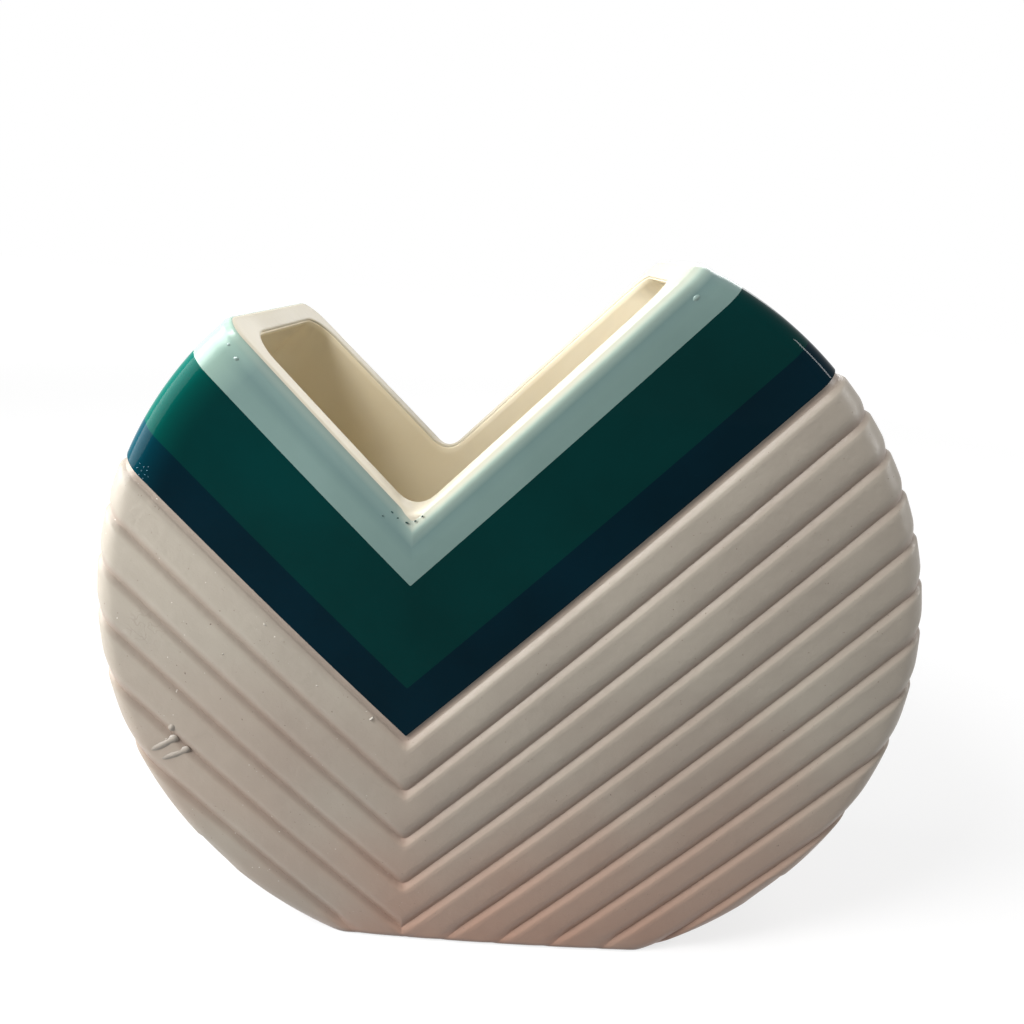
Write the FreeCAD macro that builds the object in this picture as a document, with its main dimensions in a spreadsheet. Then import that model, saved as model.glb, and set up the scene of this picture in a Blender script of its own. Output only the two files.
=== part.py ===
import FreeCAD, Part
import math
import os
import Sketcher

# Disc-shaped flower vase of slip-cast ceramic with a V-shaped mouth and chevron ribs.
# It stands on a flat foot at height zero. The front face looks along -Y and +Z is up.
# The origin is the middle of the foot, straight below the middle of the disc.

os.makedirs("parts", exist_ok=True)
doc = FreeCAD.newDocument("disc_vase")
sheet = doc.addObject("Spreadsheet::Sheet", "sizes")

# Driving sizes, in millimetres and degrees.
SIZES = [
    # the disc, over the crests of the ribs, and how much of it the flat foot cuts away below
    ("crest_radius", 105.0),
    ("foot_cut", 12.6),
    ("rim_width", 65.0),
    ("face_dome", 4.0),
    ("rim_round", 7.4),
    ("foot_corner_round", 30.0),
    # the shell
    ("wall", 5.5),
    ("floor_thickness", 6.5),
    ("cavity_bevel", 5.3),
    # the V mouth: how far its lowest line lies above and left of the middle, and the slopes of its flanks
    ("mouth_rise", 36.3),
    ("mouth_offset", 25.1),
    ("left_slope", 44.3),
    ("right_slope", 46.8),
    ("mouth_corner_round", 3.0),
    ("lip_round", 1.4),
    # the glaze bands and the ribs, measured straight down the line of the V
    ("lip_reveal", 2.1),
    ("mint_drop", 14.7),
    ("teal_drop", 27.9),
    ("navy_drop", 14.2),
    ("bare_strip", 3.6),
    ("rib_pitch", 16.0),
    ("groove_height", 3.2),
    ("rib_depth", 1.1),
    # fired thickness of the coloured glazes and of the clear glaze inside
    ("glaze_coat", 0.5),
    ("liner_coat", 0.4),
    # how far every cutting shape runs past what it cuts
    ("overrun", 12.0),
]
# Sizes that follow from them.
DERIVED = [
    ("centre_height", "=crest_radius - foot_cut"),
    ("mouth_height", "=centre_height + mouth_rise"),
    ("ground_offset", "=-rib_depth"),
    ("glaze_offset", "=-rib_depth + glaze_coat"),
    ("cavity_offset", "=-rib_depth - wall"),
    ("liner_offset", "=-rib_depth - wall - liner_coat"),
    ("ground_round", "=rim_round - rib_depth"),
    ("glaze_round", "=rim_round - rib_depth + glaze_coat"),
    ("dome_radius", "=((crest_radius - rim_round)^2 + face_dome^2) / (2 * face_dome)"),
    ("half_depth", "=rim_width / 2 + face_dome"),
    ("cavity_spread", "=sqrt((dome_radius + cavity_offset)^2 - (crest_radius + cavity_offset)^2)"),
    ("liner_spread", "=sqrt((dome_radius + liner_offset)^2 - (crest_radius + liner_offset)^2)"),
    ("cavity_corner", "=dome_radius - cavity_spread + cavity_bevel"),
    ("liner_corner", "=dome_radius - liner_spread + cavity_bevel"),
    ("reach", "=crest_radius + overrun"),
    ("mint_top", "=mouth_height - lip_reveal"),
    ("teal_top", "=mint_top - mint_drop"),
    ("navy_top", "=teal_top - teal_drop"),
    ("first_rib_top", "=navy_top - navy_drop - bare_strip"),
    ("rib_height", "=rib_pitch - groove_height"),
    ("left_rise", "=(reach - mouth_offset) * tan(left_slope * 1 deg)"),
    ("right_rise", "=(reach + mouth_offset) * tan(right_slope * 1 deg)"),
    ("sky", "=mouth_height + left_rise + right_rise"),
    ("foot_flat", "=sqrt((crest_radius - foot_corner_round)^2 - (centre_height - foot_corner_round)^2)"),
    ("foot_turn", "=asin(foot_flat / (crest_radius - foot_corner_round)) / 1 deg"),
    ("foot_corner", "=foot_flat + foot_corner_round * tan(foot_turn / 2 * 1 deg)"),
]
for row, (alias, content) in enumerate(SIZES + DERIVED, start=1):
    sheet.set("A%d" % row, alias)
    sheet.set("B%d" % row, str(content))
    sheet.setAlias("B%d" % row, alias)
doc.recompute()


def size(alias):
    """The number that a cell of the sheet holds."""
    return float(getattr(sheet, alias))


# Codes by which a sketch names the points of a line and its own axes.
START, END, CENTRE = range(1, 4)
AXIS_X, AXIS_Y = range(-1, -3, -1)
ORIGIN = (AXIS_X, START)
Vector = FreeCAD.Vector
NORMAL = Vector(0, 0, 1)
# Points nearer than this are one point.
TOUCH = 1e-4


def origin_plane(body, role):
    """The plane of the body's own origin with the given role."""
    return [part for part in body.Origin.OriginFeatures if part.Role == role][0]


def new_sketch(name, role):
    """A body and an empty sketch on one of its origin planes."""
    body = doc.addObject("PartDesign::Body", name)
    sketch = body.newObject("Sketcher::SketchObject", name + "_sketch")
    sketch.AttachmentSupport = [(origin_plane(body, role), "")]
    sketch.MapMode = "FlatFace"
    return body, sketch


def relate(sketch, kind, *elements):
    """A constraint without a size."""
    sketch.addConstraint(Sketcher.Constraint(kind, *elements))


def bind(sketch, kind, elements, start_value, expression):
    """A constraint whose size follows an expression of the sheet."""
    index = sketch.addConstraint(Sketcher.Constraint(kind, *elements, start_value))
    sketch.setExpression("Constraints[%d]" % index, expression)


def settle(feature):
    """Recompute and stop if the sketch or feature has failed."""
    doc.recompute()
    if "Invalid" in feature.State or "Error" in feature.State:
        raise RuntimeError("%s did not build" % feature.Name)


def disc(name, edge_round, offset=None):
    """
    The solid disc turned about its level axis: two domed faces, rounded edges and a straight rim.
    The named offset, if there is one, moves its faces and its rim outwards from the crests of the ribs.
    """
    body, sketch = new_sketch(name, "XY_Plane")
    shift = size(offset) if offset else 0.0
    plus = " + sizes." + offset if offset else ""
    radius = size("crest_radius") + shift
    dome = size("dome_radius") + shift
    depth = size("half_depth") + shift
    corner = size(edge_round)
    dome_centre = depth - dome
    corner_x = radius - corner
    corner_y = dome_centre + math.sqrt((dome - corner) ** 2 - corner_x ** 2)
    turn = math.atan2(corner_y - dome_centre, corner_x)
    quarter = math.pi / 2
    circle = Part.Circle
    sketch.addGeometry(Part.ArcOfCircle(circle(Vector(0, dome_centre, 0), NORMAL, dome), turn, quarter))
    sketch.addGeometry(Part.ArcOfCircle(circle(Vector(corner_x, corner_y, 0), NORMAL, corner), 0, turn))
    sketch.addGeometry(Part.LineSegment(Vector(radius, corner_y, 0), Vector(radius, -corner_y, 0)))
    sketch.addGeometry(Part.ArcOfCircle(circle(Vector(corner_x, -corner_y, 0), NORMAL, corner), -turn, 0))
    sketch.addGeometry(Part.ArcOfCircle(circle(Vector(0, -dome_centre, 0), NORMAL, dome), -quarter, -turn))
    sketch.addGeometry(Part.LineSegment(Vector(0, -depth, 0), Vector(0, depth, 0)))
    back, back_edge, rim, front_edge, front, axle = range(6)
    relate(sketch, "Tangent", back, START, back_edge, END)
    relate(sketch, "Tangent", back_edge, START, rim, START)
    relate(sketch, "Tangent", rim, END, front_edge, END)
    relate(sketch, "Tangent", front_edge, START, front, END)
    relate(sketch, "Coincident", front, START, axle, START)
    relate(sketch, "Coincident", axle, END, back, END)
    relate(sketch, "PointOnObject", back, CENTRE, AXIS_Y)
    relate(sketch, "PointOnObject", front, CENTRE, AXIS_Y)
    relate(sketch, "PointOnObject", axle, START, AXIS_Y)
    relate(sketch, "PointOnObject", axle, END, AXIS_Y)
    relate(sketch, "Vertical", rim)
    relate(sketch, "Equal", back, front)
    relate(sketch, "Equal", back_edge, front_edge)
    bind(sketch, "Radius", (back,), dome, "sizes.dome_radius" + plus)
    bind(sketch, "Radius", (back_edge,), corner, "sizes." + edge_round)
    bind(sketch, "DistanceX", (*ORIGIN, rim, START), radius, "sizes.crest_radius" + plus)
    bind(sketch, "DistanceY", (*ORIGIN, axle, END), depth, "sizes.half_depth" + plus)
    bind(sketch, "DistanceY", (axle, START, *ORIGIN), depth, "sizes.half_depth" + plus)
    settle(sketch)
    turned = body.newObject("PartDesign::Revolution", name + "_turned")
    turned.Profile = sketch
    turned.ReferenceAxis = (sketch, ["V_Axis"])
    turned.Angle = 360
    sketch.Visibility = False
    body.setExpression("Placement.Base.z", "sizes.centre_height")
    settle(turned)
    return body


def hollow(name, offset, corner_cut):
    """
    The space inside the disc: a drum with bevelled ends, kept within two large balls.
    The balls share their middles with the domes outside, so the wall is even.
    """
    drum = doc.addObject("Part::Cylinder", name + "_drum")
    drum.Placement.Rotation = FreeCAD.Rotation(Vector(1, 0, 0), -90)
    drum.setExpression("Radius", "sizes.crest_radius + sizes." + offset)
    drum.setExpression("Height", "2 * sizes.half_depth")
    drum.setExpression("Placement.Base.y", "-sizes.half_depth")
    drum.setExpression("Placement.Base.z", "sizes.centre_height")
    settle(drum)
    bevelled = doc.addObject("Part::Chamfer", name + "_bevel")
    bevelled.Base = drum
    cut = size(corner_cut)
    bevelled.Edges = [(number, cut, cut) for number, edge in enumerate(drum.Shape.Edges, start=1)
                      if isinstance(edge.Curve, Part.Circle)]
    settle(bevelled)
    balls = []
    for side, sign in (("front", ""), ("back", "-")):
        ball = doc.addObject("Part::Sphere", "%s_%s" % (name, side))
        ball.setExpression("Radius", "sizes.dome_radius + sizes." + offset)
        ball.setExpression("Placement.Base.y", "%s(sizes.dome_radius - sizes.half_depth)" % sign)
        ball.setExpression("Placement.Base.z", "sizes.centre_height")
        balls.append(ball)
    space = doc.addObject("Part::MultiCommon", name)
    space.Shapes = [bevelled] + balls
    settle(space)
    return space


def outline_pad(name, points, constrain):
    """A closed outline of straight lines in the XZ plane, made solid through the disc's whole depth."""
    body, sketch = new_sketch(name, "XZ_Plane")
    count = len(points)
    for index in range(count):
        first, second = points[index], points[(index + 1) % count]
        sketch.addGeometry(Part.LineSegment(Vector(*first, 0), Vector(*second, 0)))
    for index in range(count):
        relate(sketch, "Coincident", index, END, (index + 1) % count, START)
    constrain(sketch)
    settle(sketch)
    pad = body.newObject("PartDesign::Pad", name + "_pad")
    pad.Profile = sketch
    pad.Midplane = True
    pad.setExpression("Length", "2 * (sizes.half_depth + sizes.overrun)")
    sketch.Visibility = False
    settle(pad)
    return body, sketch, pad


def chevron(name, top, drop):
    """
    A V-shaped strip that follows the mouth: its top line starts at the height top on the line of the V,
    and it is as high as drop, measured straight down.
    """
    upper, lower = size(top), size(top) - size(drop)
    axis, reach = -size("mouth_offset"), size("reach")
    left_rise, right_rise = size("left_rise"), size("right_rise")
    points = [
        (axis, upper),
        (reach, upper + right_rise),
        (reach, lower + right_rise),
        (axis, lower),
        (-reach, lower + left_rise),
        (-reach, upper + left_rise),
    ]

    def constrain(sketch):
        right_top, right_end, right_low, left_low, left_end, left_top = range(6)
        relate(sketch, "Vertical", right_end)
        relate(sketch, "Vertical", left_end)
        relate(sketch, "Parallel", right_top, right_low)
        relate(sketch, "Parallel", left_top, left_low)
        relate(sketch, "Vertical", right_top, START, left_low, START)
        bind(sketch, "DistanceX", (right_top, START, *ORIGIN), -axis, "sizes.mouth_offset")
        bind(sketch, "DistanceY", (*ORIGIN, right_top, START), upper, "sizes." + top)
        bind(sketch, "DistanceY", (left_low, START, right_top, START), size(drop), "sizes." + drop)
        bind(sketch, "DistanceX", (*ORIGIN, right_end, START), reach, "sizes.reach")
        bind(sketch, "DistanceX", (left_end, START, *ORIGIN), reach, "sizes.reach")
        bind(sketch, "DistanceY", (right_top, START, right_top, END), right_rise, "sizes.right_rise")
        bind(sketch, "DistanceY", (left_top, END, left_top, START), left_rise, "sizes.left_rise")

    return outline_pad(name, points, constrain)[0]


def rib_arms(name, side):
    """
    The arms of the chevron ribs on one side of the line of the V, one below the other.
    The last one is the last whose top line still meets the ground of the disc.
    """
    right = side == "right"
    upper, lower = size("first_rib_top"), size("first_rib_top") - size("rib_height")
    axis, reach = -size("mouth_offset"), size("reach")
    end = reach if right else -reach
    rise = size(side + "_rise")
    points = [(axis, upper), (end, upper + rise), (end, lower + rise), (axis, lower)]

    def constrain(sketch):
        top_line, rim_end, low_line, mitre = range(4)
        relate(sketch, "Vertical", rim_end)
        relate(sketch, "Vertical", mitre)
        relate(sketch, "Parallel", top_line, low_line)
        bind(sketch, "DistanceX", (top_line, START, *ORIGIN), -axis, "sizes.mouth_offset")
        bind(sketch, "DistanceY", (*ORIGIN, top_line, START), upper, "sizes.first_rib_top")
        bind(sketch, "DistanceY", (mitre, START, mitre, END), size("rib_height"), "sizes.rib_height")
        outwards = (*ORIGIN, rim_end, START) if right else (rim_end, START, *ORIGIN)
        bind(sketch, "DistanceX", outwards, reach, "sizes.reach")
        bind(sketch, "DistanceY", (top_line, START, top_line, END), rise, "sizes.%s_rise" % side)

    body, sketch, pad = outline_pad(name, points, constrain)
    slope = math.radians(size(side + "_slope"))
    line_shift = size("mouth_offset") * math.tan(slope) * (-1 if right else 1)
    ground_radius = size("crest_radius") - size("rib_depth")
    room = ground_radius / math.cos(slope) - (size("centre_height") - size("first_rib_top") + line_shift)
    count = math.ceil(room / size("rib_pitch"))
    ribs_down = body.newObject("PartDesign::LinearPattern", name + "_down")
    ribs_down.Originals = [pad]
    ribs_down.Direction = (sketch, ["V_Axis"])
    ribs_down.Reversed = True
    ribs_down.Occurrences = count
    ribs_down.setExpression("Length", "sizes.rib_pitch * %d" % (count - 1))
    body.Tip = ribs_down
    settle(ribs_down)
    return body


def mouth_shape(name):
    """Everything above the V of the mouth, with a rounded corner at its lowest line."""
    axis, apex = -size("mouth_offset"), size("mouth_height")
    reach, sky = size("reach"), size("sky")
    left_rise, right_rise = size("left_rise"), size("right_rise")
    points = [
        (axis, apex),
        (reach, apex + right_rise),
        (reach, sky),
        (-reach, sky),
        (-reach, apex + left_rise),
    ]

    def constrain(sketch):
        right_flank, right_side, lid, left_side, left_flank = range(5)
        relate(sketch, "Vertical", right_side)
        relate(sketch, "Vertical", left_side)
        relate(sketch, "Horizontal", lid)
        bind(sketch, "DistanceX", (right_flank, START, *ORIGIN), -axis, "sizes.mouth_offset")
        bind(sketch, "DistanceY", (*ORIGIN, right_flank, START), apex, "sizes.mouth_height")
        bind(sketch, "DistanceX", (*ORIGIN, right_side, START), reach, "sizes.reach")
        bind(sketch, "DistanceX", (left_side, END, *ORIGIN), reach, "sizes.reach")
        bind(sketch, "DistanceY", (*ORIGIN, lid, START), sky, "sizes.sky")
        bind(sketch, "DistanceY", (right_flank, START, right_flank, END), right_rise, "sizes.right_rise")
        bind(sketch, "DistanceY", (left_flank, END, left_flank, START), left_rise, "sizes.left_rise")

    body, sketch, pad = outline_pad(name, points, constrain)
    rounded = body.newObject("PartDesign::Fillet", name + "_corner")
    rounded.Base = (pad, level_edges(pad.Shape, axis, apex))
    rounded.setExpression("Radius", "sizes.mouth_corner_round")
    settle(rounded)
    return body


def level_edges(shape, across, height):
    """Names of the edges that run along Y through the point across, height."""
    found = []
    for number, edge in enumerate(shape.Edges, start=1):
        ends = [vertex.Point for vertex in edge.Vertexes]
        level = all(abs(point.x - across) < TOUCH and abs(point.z - height) < TOUCH for point in ends)
        if len(ends) == 2 and level:
            found.append("Edge%d" % number)
    return found


def foot_shape(name):
    """
    Everything above the foot: flat in the middle, and turned up at both ends in a round
    that runs over into the circle of the rim.
    """
    corner = size("foot_corner")
    reach = size("reach")
    slope = math.tan(math.radians(size("foot_turn")))
    rise = (reach - corner) * slope
    sky = size("sky")
    points = [(-corner, 0), (corner, 0), (reach, rise), (reach, sky), (-reach, sky), (-reach, rise)]

    def constrain(sketch):
        foot, right_turn, right_side, lid, left_side, left_turn = range(6)
        relate(sketch, "Vertical", right_side)
        relate(sketch, "Vertical", left_side)
        relate(sketch, "Horizontal", lid)
        relate(sketch, "PointOnObject", foot, START, AXIS_X)
        relate(sketch, "PointOnObject", foot, END, AXIS_X)
        bind(sketch, "DistanceX", (*ORIGIN, foot, END), corner, "sizes.foot_corner")
        bind(sketch, "DistanceX", (foot, START, *ORIGIN), corner, "sizes.foot_corner")
        bind(sketch, "DistanceX", (*ORIGIN, right_side, START), reach, "sizes.reach")
        bind(sketch, "DistanceX", (left_side, START, *ORIGIN), reach, "sizes.reach")
        bind(sketch, "DistanceY", (*ORIGIN, lid, START), sky, "sizes.sky")
        climb = "(sizes.reach - sizes.foot_corner) * tan(sizes.foot_turn * 1 deg)"
        bind(sketch, "DistanceY", (*ORIGIN, right_side, START), rise, climb)
        bind(sketch, "DistanceY", (*ORIGIN, left_side, END), rise, climb)

    body, sketch, pad = outline_pad(name, points, constrain)
    rounded = body.newObject("PartDesign::Fillet", name + "_corners")
    rounded.Base = (pad, level_edges(pad.Shape, corner, 0) + level_edges(pad.Shape, -corner, 0))
    rounded.setExpression("Radius", "sizes.foot_corner_round")
    settle(rounded)
    return body


def combine(kind, name, *members):
    """One boolean of two or more shapes."""
    result = doc.addObject("Part::" + kind, name)
    if kind == "MultiFuse":
        result.Shapes = list(members)
    else:
        result.Base, result.Tool = members
    settle(result)
    return result


def upper_block(name, floor):
    """All the space above a level floor inside the vase."""
    block = doc.addObject("Part::Box", name)
    block.setExpression("Length", "2 * sizes.reach")
    block.setExpression("Width", "2 * (sizes.half_depth + sizes.overrun)")
    block.setExpression("Height", "sizes.sky")
    block.setExpression("Placement.Base.x", "-sizes.reach")
    block.setExpression("Placement.Base.y", "-(sizes.half_depth + sizes.overrun)")
    block.setExpression("Placement.Base.z", floor)
    settle(block)
    return block


def lip_edges(shape):
    """Edge numbers of the whole mouth outline, where the flanks of the V leave the outside of the disc."""
    numbers = []
    limit = size("mouth_height") - TOUCH
    for number, edge in enumerate(shape.Edges, start=1):
        faces = [face for face in shape.Faces if any(edge.isSame(other) for other in face.Edges)]
        flanks = [face for face in faces if is_flank(face)]
        if len(faces) == 2 and len(flanks) == 1 and edge.BoundBox.ZMin > limit:
            numbers.append(number)
    return numbers


def is_flank(face):
    """True for the two sloping planes of the mouth and the round between them."""
    surface = face.Surface
    if isinstance(surface, Part.Cylinder):
        return abs(surface.Radius - size("mouth_corner_round")) < TOUCH
    return isinstance(surface, Part.Plane)


# The disc at the crests of the ribs, at the ground between them, and over the coloured glaze.
crest_disc = disc("crest_disc", "rim_round")
ground_disc = disc("ground_disc", "ground_round", "ground_offset")
glaze_disc = disc("glaze_disc", "glaze_round", "glaze_offset")
# The hollow inside, before and after its clear glaze.
cavity_disc = hollow("cavity_disc", "cavity_offset", "cavity_corner")
liner_disc = hollow("liner_disc", "liner_offset", "liner_corner")

# The mouth, cut through the whole depth, with a rounded outer lip.
mouth = mouth_shape("mouth")
opened_disc = combine("Cut", "opened_disc", ground_disc, mouth)
lipped_disc = doc.addObject("Part::Fillet", "lipped_disc")
lipped_disc.Base = opened_disc
lip = size("lip_round")
lipped_disc.Edges = [(number, lip, lip) for number in lip_edges(opened_disc.Shape)]
settle(lipped_disc)

# The chevron ribs: a left and a right arm each, mitred on the line of the V.
left_arms = rib_arms("left_arms", "left")
right_arms = rib_arms("right_arms", "right")
rib_chevrons = combine("MultiFuse", "rib_chevrons", left_arms, right_arms)
ribs = combine("Common", "ribs", crest_disc, rib_chevrons)
ribbed_disc = combine("MultiFuse", "ribbed_disc", lipped_disc, ribs)

# The flat foot with its rounded ends, and the hollow.
foot = foot_shape("foot")
footed_disc = combine("Common", "footed_disc", ribbed_disc, foot)
cavity_space = upper_block("cavity_space", "sizes.floor_thickness")
cavity = combine("Common", "cavity", cavity_disc, cavity_space)
vase_body = combine("Cut", "vase_body", footed_disc, cavity)

# The coloured glazes lie on the ground of the disc as V-shaped bands that run right round it.
glaze_skin = combine("Cut", "glaze_skin", glaze_disc, ground_disc)
bands = []
for colour in ("mint", "teal", "navy"):
    strip = chevron(colour + "_strip", colour + "_top", colour + "_drop")
    bands.append(combine("Common", colour + "_glaze_band", glaze_skin, strip))

# The clear glaze that makes the hollow hold water, up to the lip.
liner_space = upper_block("liner_space", "sizes.floor_thickness + sizes.liner_coat")
liner_hollow = combine("Common", "liner_hollow", liner_disc, liner_space)
liner_skin = combine("Cut", "liner_skin", cavity, liner_hollow)
inner_glaze = combine("Cut", "inner_glaze", liner_skin, mouth)

PIECES = [vase_body] + bands + [inner_glaze]
for piece in PIECES:
    piece.Label = piece.Name
doc.recompute()
for thing in doc.Objects:
    if "Invalid" in thing.State or "Error" in thing.State:
        raise RuntimeError("%s is in error" % thing.Name)
for piece in PIECES:
    shape = piece.Shape
    if shape.isNull() or not shape.isValid() or not shape.Solids:
        raise RuntimeError("%s has no sound solid" % piece.Label)
    shape.exportStep("parts/%s.step" % piece.Label)
    box = shape.optimalBoundingBox(False)
    print("%s: %d solid, %.1f cm3, x %.2f..%.2f y %.2f..%.2f z %.2f..%.2f" % (
        piece.Label, len(shape.Solids), shape.Volume / 1000,
        box.XMin, box.XMax, box.YMin, box.YMax, box.ZMin, box.ZMax))
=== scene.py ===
import math

import bmesh
import bpy
import numpy as np
from mathutils import Matrix, Vector


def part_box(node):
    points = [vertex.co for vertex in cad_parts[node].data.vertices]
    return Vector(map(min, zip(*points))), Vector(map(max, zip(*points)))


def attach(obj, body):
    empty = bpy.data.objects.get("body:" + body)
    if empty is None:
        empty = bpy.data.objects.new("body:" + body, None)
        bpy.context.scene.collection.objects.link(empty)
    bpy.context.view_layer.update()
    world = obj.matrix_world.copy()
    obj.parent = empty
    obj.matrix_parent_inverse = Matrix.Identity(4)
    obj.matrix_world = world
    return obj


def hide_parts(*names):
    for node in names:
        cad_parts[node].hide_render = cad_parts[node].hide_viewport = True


# Disc-shaped flower vase of slip-cast ceramic: a V mouth, three V-shaped glaze bands and chevron ribs.
# Every skin of the vase is made of rows that run along the two arms of the V.
# A row is named by its drop, how far it lies straight below the mouth line. Sizes are in millimetres.

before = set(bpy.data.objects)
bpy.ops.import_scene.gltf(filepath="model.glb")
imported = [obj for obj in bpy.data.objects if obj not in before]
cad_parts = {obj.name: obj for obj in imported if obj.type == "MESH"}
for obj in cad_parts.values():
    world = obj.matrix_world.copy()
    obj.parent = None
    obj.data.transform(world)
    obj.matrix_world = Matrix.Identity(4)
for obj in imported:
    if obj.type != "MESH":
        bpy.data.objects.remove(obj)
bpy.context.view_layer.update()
MM = 0.001

# The disc, over the crests of the ribs.
BODY_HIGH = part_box("vase_body")[1]
CREST_RADIUS = BODY_HIGH.x / MM
HALF_DEPTH = BODY_HIGH.y / MM
FOOT_CUT = 12.6
CENTRE_HEIGHT = CREST_RADIUS - FOOT_CUT
RIM_WIDTH = 65.0
FACE_DOME = HALF_DEPTH - RIM_WIDTH / 2
RIM_ROUND = 7.4
DOME_RADIUS = ((CREST_RADIUS - RIM_ROUND) ** 2 + FACE_DOME ** 2) / (2 * FACE_DOME)
FOOT_CORNER_ROUND = 30.0
FOOT_EDGE_ROUND = 1.8
# The height over which the sharp foot edge grows into the round edge of the disc.
FOOT_EDGE_RISE = 24.0

# The V mouth.
MOUTH_OFFSET = 25.1
MOUTH_RISE = 36.3
SLOPES = {"right": math.radians(46.8), "left": math.radians(44.3)}
SIGNS = {"right": 1.0, "left": -1.0}
CORNER_SLOPE = (math.tan(SLOPES["right"]) + math.tan(SLOPES["left"])) / 2

# The shell and its lip.
RIB_DEPTH = 1.1
WALL = 5.5
FLOOR_THICKNESS = 6.5
INNER_ROUND = 9.0
INNER_FOOT_ROUND = 5.0
LIP_ROUND = 1.4
LIP_INNER_ROUND = 0.6
LIP_CORNER = 3.0
LIP_INNER_CORNER = 5.0
# How much rounder the hollow's edge is than one parallel to the outside.
INNER_EXTRA = INNER_ROUND - RIM_ROUND + RIB_DEPTH + WALL
# The V corner of the inner wall grows crisp over this drop.
INNER_CORNER_FADE = 40.0

# The glaze bands and the ribs, by drop.
LIP_REVEAL = 2.1
MINT_DROP = 0.6
MINT_CORNER = 0.8
MINT_CORNER_FADE = 8.0
TEAL_DROP = 16.8
NAVY_DROP = 44.7
STRIP_DROP = 58.9
RIB_START = 61.3
RIB_PITCH = 16.0
FIRST_GROOVE = 76.9
GROOVE_ABOVE = 5.2
GROOVE_BELOW = 2.3
POWER_ABOVE = 1.7
POWER_BELOW = 1.25
GLAZE_COAT = 0.5
GLAZE_SEAT = 0.2
LINER_COAT = 0.4
LINER_TOP = np.array([1.2, 0.95, 0.9, 0.95, 1.2])
RIB_CORNER = 1.6
TIP_CORNER = 0.2
# The mint glaze swells out of the lip into a low bead, with a shallow valley under it.
MINT_SWELL = 4.5
MINT_BEAD = 0.15
BEAD_DROP = 2.6
BEAD_SPREAD = 1.5
VALLEY_SHARE = 0.7
VALLEY_DROP = 6.4
VALLEY_SPREAD = 2.2
NAVY_BOTTOM_ROUND = 0.4
# How much of a groove is filled up on the rim and at the foot, and where the filling starts.
RIM_FILL = 0.3
RIM_FILL_START = 94.0
FOOT_FILL = 0.85
FOOT_FILL_HEIGHT = 7.0

# The offsets on which the small marks of the firing sit, and how deep they are sunk.
ON_GLAZE = -RIB_DEPTH + GLAZE_COAT
ON_BARE = -0.6
LUMP_SEAT = 0.1

# Points along a row, across the rim and along the helping line that spaces them.
ROW_POINTS = 96
RIM_POINTS = 9
HELP_POINTS = 500
TURN_WEIGHT = 10.0
CORNER_WEIGHT = 12.0
CORNER_SPREAD = 2.0
FOOT_CROWD = 6.0
FOOT_SPREAD = 3.0
SHARP_ANGLE = math.radians(60)
# The rows on a groove's walls, as shares of the wall, and the steps of the rows on a rib's crest.
WALL_SHARES = np.array([1.0, 0.82, 0.65, 0.5, 0.36, 0.24, 0.14, 0.06])
CREST_STEPS = np.array([-4.0, -1.5, 1.0])
# A glaze band has many rows near its top edge, and few below them.
NEAR_DROP = 10.0
NEAR_ROWS = 30
NEAR_POWER = 1.3
FAR_DROP = 11.0
FAR_ROWS = 8
# The inner wall has a few rows under the lip, then the wall's own, then those that close it to a point.
NECK_DROP = 12.0
NECK_ROWS = 6
WALL_ROWS = 22
CLOSING_ROWS = 18
# Points nearer than this are merged, and faces thinner than this go.
WELD_DISTANCE = 0.004
THINNEST_FACE = 0.002
HALVINGS = 30

# The strength of the even sky, where 1 is white, and the middle of the scratched patch.
SKY = 0.15
SCUFF_ACROSS = -91.0
SCUFF_HEIGHT = 94.0


def skin_rows(drop, offset, corner=TIP_CORNER, extra=0.0, lift=0.0):
    """
    Rows of a skin, one a line: the drop, the offset outwards from the rib crests, the softness of the V
    corner, how much rounder the disc edge is than a parallel one, and the height of the floor under the row.
    """
    return np.stack(np.broadcast_arrays(drop, offset, corner, extra, lift), axis=-1).astype(float)


def column(skin, index):
    """One value of every row, as a column that spreads over the points of the row."""
    return skin[:, index][:, None]


def disc_profile(offset, extra):
    """
    The disc's half profile: a large ball over the face, a round at the edge and a straight rim.
    Returns the ball's radius and middle, the round's radius and middle, and where the two meet.
    """
    outer = CREST_RADIUS + offset
    ball = DOME_RADIUS + offset
    ball_middle = HALF_DEPTH + offset - ball
    corner = RIM_ROUND + offset + extra
    corner_radius = outer - corner
    rim_half = ball_middle + np.sqrt((ball - corner) ** 2 - corner_radius ** 2)
    meeting = corner_radius * ball / (ball - corner)
    return ball, ball_middle, corner, corner_radius, rim_half, meeting


def face_depth(radius, offset, extra):
    """Half the depth of the disc at a radius: the ball up to the meeting point, the edge round beyond it."""
    ball, ball_middle, corner, corner_radius, rim_half, meeting = disc_profile(offset, extra)
    on_ball = ball_middle + np.sqrt(ball ** 2 - np.minimum(radius, meeting) ** 2)
    on_edge = rim_half + np.sqrt(np.maximum(corner ** 2 - (radius - corner_radius) ** 2, 0.0))
    return np.where(radius <= meeting, on_ball, on_edge)


def soft_distance(distance, softness):
    """The distance itself, but a parabola that never reaches zero where it is under the softness."""
    return np.where(distance < softness, (distance ** 2 + softness ** 2) / (2 * softness), distance)


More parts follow.
